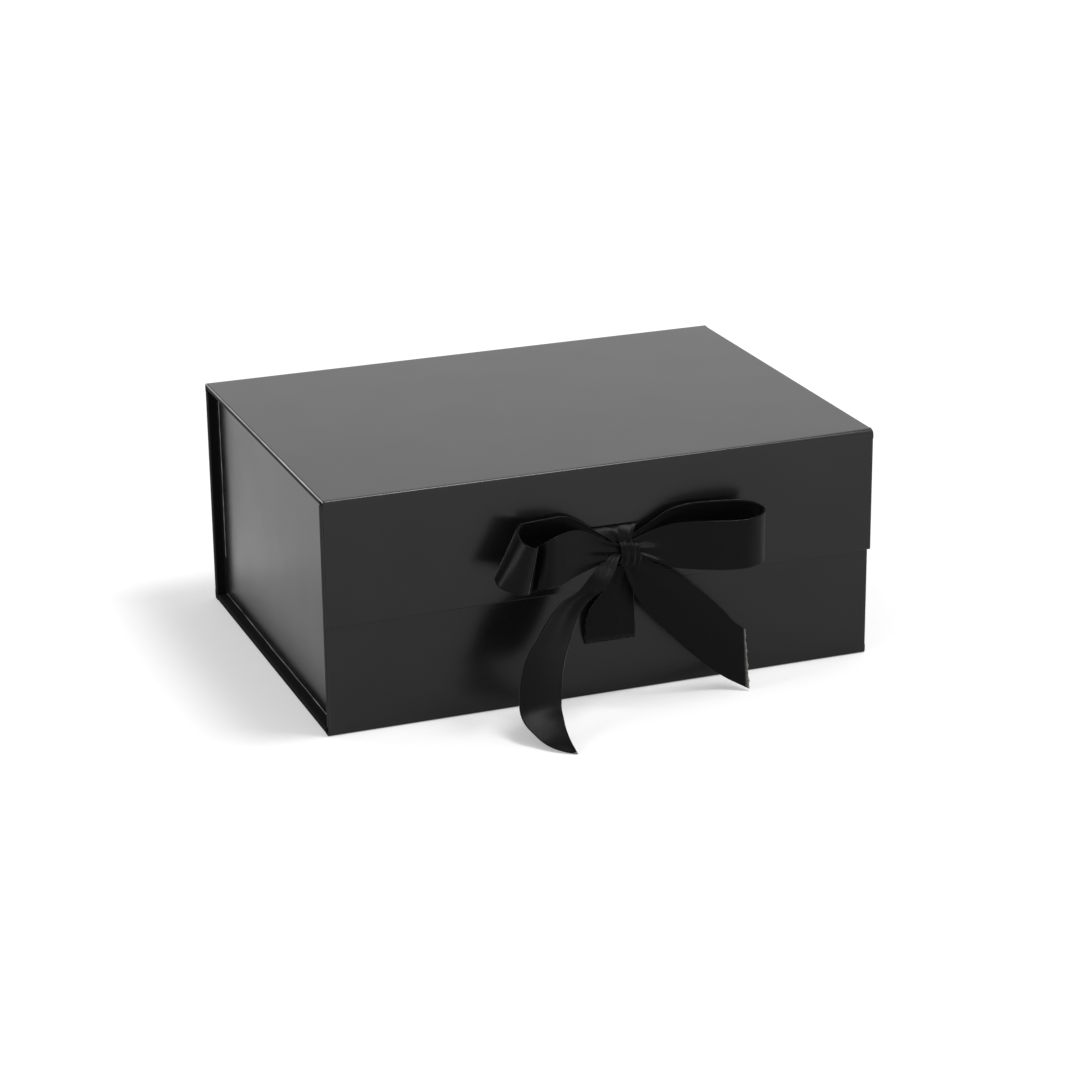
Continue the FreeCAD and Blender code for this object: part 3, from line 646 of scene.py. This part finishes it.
def seam(name, start, end):
    """A slightly uneven bead along a straight line: the paper's cut edge where a side wall meets the case,
    pale partly as a painted highlight along the wall's fold.
    """
    start, end = Vector(start), Vector(end)
    along = (end - start).normalized()
    side = along.orthogonal().normalized()
    other = along.cross(side)
    around = np.linspace(0.0, 2 * math.pi, SEAM_SIDES + 1)[:-1]
    points = []
    for index, share in enumerate(np.linspace(0.0, 1.0, SEAM_STEPS + 1)):
        wander = 0.10 * math.sin(9.0 * share) + 0.07 * math.sin(31.0 * share + 1.0)
        size = SEAM_RADIUS * MM * (0.8 + 0.3 * math.sin(47.0 * share + 0.6) * math.sin(13.0 * share))
        middle = start.lerp(end, float(share)) + (side + other) * (wander * MM * 0.7)
        size = size if 0 < index < SEAM_STEPS else size * 0.2
        points += [tuple(middle + (side * math.cos(t) + other * math.sin(t)) * size) for t in around]
    last = SEAM_STEPS * SEAM_SIDES
    faces = tube_faces(SEAM_STEPS + 1, SEAM_SIDES)
    faces += [tuple(range(SEAM_SIDES)), tuple(range(last, last + SEAM_SIDES))]
    piece = add_mesh(name, points, faces)
    tidy_normals(piece)
    return piece


def turned_shade_strip(name, face, inward, side):
    """A thin sheet of the duller base paper on an upright panel's inner face, along one side edge past a side
    wall: partly paper turned in, partly painted shade in the lip.
    """
    across = side * (WALL_FACE + HAIR), side * (CASE_SIDE - 5 * HAIR)
    depth = face, face + inward * HAIR / 2
    points = [(x, y, z) for z in (BASE_TOP + HAIR, WALL_TOP) for y in depth for x in across]
    faces = [(0, 1, 3, 2), (4, 5, 7, 6), (0, 1, 5, 4), (2, 3, 7, 6), (0, 2, 6, 4), (1, 3, 7, 5)]
    piece = add_mesh(name, points, faces)
    tidy_normals(piece)
    return piece


def dress(piece, material):
    piece.data.materials.clear()
    piece.data.materials.append(material)


def stage_and_light():
    """A white floor, an even white surround, a key lamp above the front right and a small one at the left.

    The floor's glow as gloss shows it is painted light: none near the object, and a band left of the case
    that lights the left wall's reflection.
    """
    corners = [(x * FLOOR_REACH, y * FLOOR_REACH, 0) for x, y in ((-1, -1), (1, -1), (1, 1), (-1, 1))]
    floor = add_mesh("floor", corners, [(0, 1, 2, 3)])
    shader = Shader("floor_white", Base_Color=grey(0.8), Roughness=0.8, Emission_Color=grey(1.0))
    place = shader.place()
    away = shader.node("VectorMath", {0: place}, operation="LENGTH").outputs["Value"]
    glow = shader.spread(away, *FLOOR_GLOW, *GLOW_RISE)
    direct = shader.node("LightPath").outputs["Is Camera Ray"]
    mirrored = shader.math("SUBTRACT", shown(shader), direct)
    # Gloss shows no glow near the object: painted shade in its reflections.
    far = shader.math("MULTIPLY", shader.spread(away, 0.0, 1.0, *MIRROR_RISE), glow)
    # Painted light: a glowing band left of the case, seen only in gloss.
    aside = shader.math("SUBTRACT", -CASE_SIDE, shader.part(place, "X"))
    grown = shader.spread(aside, 0.0, BAND_LIGHT, *BAND_GROWS)
    band = shader.math("MULTIPLY", grown, shader.spread(aside, 1.0, 0.0, *BAND_FADES))
    seen = shader.math("MULTIPLY", mirrored, shader.math("ADD", far, band))
    shader.set("Emission Strength", shader.math("ADD", shader.math("MULTIPLY", direct, glow), seen))
    floor.data.materials.append(shader.material)

    world = bpy.data.worlds.new("surround")
    bpy.context.scene.world = world
    world.use_nodes = True
    sky = Nodes(world.node_tree)
    background = sky.tree.nodes["Background"]
    background.inputs["Color"].default_value = grey(1.0)
    sky.feed(background.inputs["Strength"], sky.spread(shown(sky), SURROUND_LIGHT, 1.0, 0.0, 1.0))

    for name, place, side, power in LAMPS:
        lamp = bpy.data.lights.new(name, "AREA")
        lamp.size = side
        lamp.energy = power
        holder = bpy.data.objects.new(name, lamp)
        holder.location = place
        holder.rotation_euler = (LAMP_AIM - Vector(place)).to_track_quat("-Z", "Y").to_euler()
        bpy.context.scene.collection.objects.link(holder)


def make_camera():
    lens = bpy.data.cameras.new("camera")
    lens.sensor_width = SENSOR
    lens.lens = CAMERA_LENS
    lens.clip_start, lens.clip_end = CAMERA_CLIP
    camera = bpy.data.objects.new("camera", lens)
    turn = Matrix((CAMERA_RIGHT, CAMERA_UP, CAMERA_BACK)).transposed()
    camera.matrix_world = Matrix.Translation(CAMERA_PLACE) @ turn.to_4x4()
    bpy.context.scene.collection.objects.link(camera)
    bpy.context.scene.camera = camera


bpy.context.scene.view_settings.view_transform = "Standard"
make_camera()
stage_and_light()

FINISHES = {
    "wrap_paper": wrap_paper("wrap_paper", 0.35),
    # Less shine for the base and the sheets in the lips: a shaded copy of the wrap, as painted shade.
    "base_paper_shaded": wrap_paper("base_paper_shaded", 0.12),
    "lining_paper": lining_paper(),
    "greyboard": greyboard(),
    "magnet": metal("magnet", 0.62, 0.18, 0.000004),
    "keeper_steel": metal("keeper_steel", 0.48, 0.34, 0.000008),
    "tape": tape(),
    "satin_ribbon": satin_ribbon(),
    "paper_edge_highlight": paper_edge_highlight(),
}
# Finishes by a node's name, or else by the last word of it.
NODE_FINISH = {
    "base_wrap": "base_paper_shaded",
    "board": "greyboard",
    "wrap": "wrap_paper",
    "liner": "lining_paper",
    "crease": "wrap_paper",
    "tapes": "tape",
    "magnets": "magnet",
    "plates": "keeper_steel",
}
for name, node in NODES.items():
    finish = NODE_FINISH.get(name) or NODE_FINISH.get(name.split("_")[-1])
    if finish:
        node.data.materials.clear()
        node.data.materials.append(FINISHES[finish])

# Name, the solid that it stands for, cross lines, pleats, their phase, front, cut end, how it is held.
BOW = (
    ("satin_left_loop", "bow_left_loop", LEFT_LOOP, 2.0, 0.4, -1, False, "gathered"),
    ("satin_right_loop", "bow_right_loop", RIGHT_LOOP, 2.0, 1.9, 1, False, "gathered"),
    ("satin_left_tail", "bow_left_tail", LEFT_TAIL, 1.5, 0.8, 1, True, "hung"),
    ("satin_right_tail", "bow_right_tail", RIGHT_TAIL, 1.5, 2.3, -1, True, "hung"),
    ("satin_upper_lead", "upper_ribbon", UPPER_LEAD, 2.0, 0.9, 1, False, "gathered"),
    ("satin_lower_lead", "lower_ribbon", LOWER_LEAD, 2.0, 2.0, 1, False, "gathered"),
    ("satin_knot", "bow_knot", knot_lines(), 2.5, 0.5, 1, False, "folded"),
)
for name, solid, cross_lines, pleats, phase, outward, cut, held in BOW:
    piece, length = ribbon(name, cross_lines, pleats, phase, outward, cut)
    dress(piece, FINISHES["satin_ribbon"])
    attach(piece, "tray" if solid == "lower_ribbon" else "flap")
    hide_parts(solid)
    if solid == "lower_ribbon":
        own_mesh(piece)
    elif solid == "bow_left_tail":
        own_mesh(piece)

for name, solid, bodies, front in (("lid_fold", "lid_crease", ("tray", "lid"), False),
                                   ("flap_fold", "flap_crease", ("flap", "lid"), True)):
    piece, start, end = fold_strip(name, solid, front)
    dress(piece, FINISHES["wrap_paper"])
    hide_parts(solid)
    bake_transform(piece)

for word, side in SIDES:
    wall = side * WALL_FACE
    foot_x, foot_z = wall + side * FOOT_OUT * MM, BASE_TOP + FOOT_RISE * MM
    foot_front, foot_rear = FRONT_FACE + FOOT_GAP * MM, SPINE_FACE - FOOT_GAP * MM
    rear_y = SPINE_FACE - REAR_AWAY * MM
    rear_low, rear_high = BASE_TOP + REAR_RISE * MM, WALL_TOP - REAR_DROP * MM
    ends = {
        "foot": ((foot_x, foot_front, foot_z), (foot_x, foot_rear, foot_z)),
        "rear": ((wall, rear_y, rear_low), (wall, rear_y, rear_high)),
    }
    # Pale seams: cut paper edges, partly a painted highlight.
    for place, (start, end) in ends.items():
        piece = seam(f"{word}_{place}_seam", start, end)
        dress(piece, FINISHES["paper_edge_highlight"])
        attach(piece, "tray")

# Sheets of duller paper on the lips' inner faces: partly turned-in paper, partly painted shade.
for word, side in SIDES:
    for panel, face, inward in (("front", FRONT_FACE, 1), ("spine", SPINE_FACE, -1)):
        piece = turned_shade_strip(f"{word}_{panel}_turn_in_shade", face, inward, side)
        dress(piece, FINISHES["base_paper_shaded"])
        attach(piece, "tray")
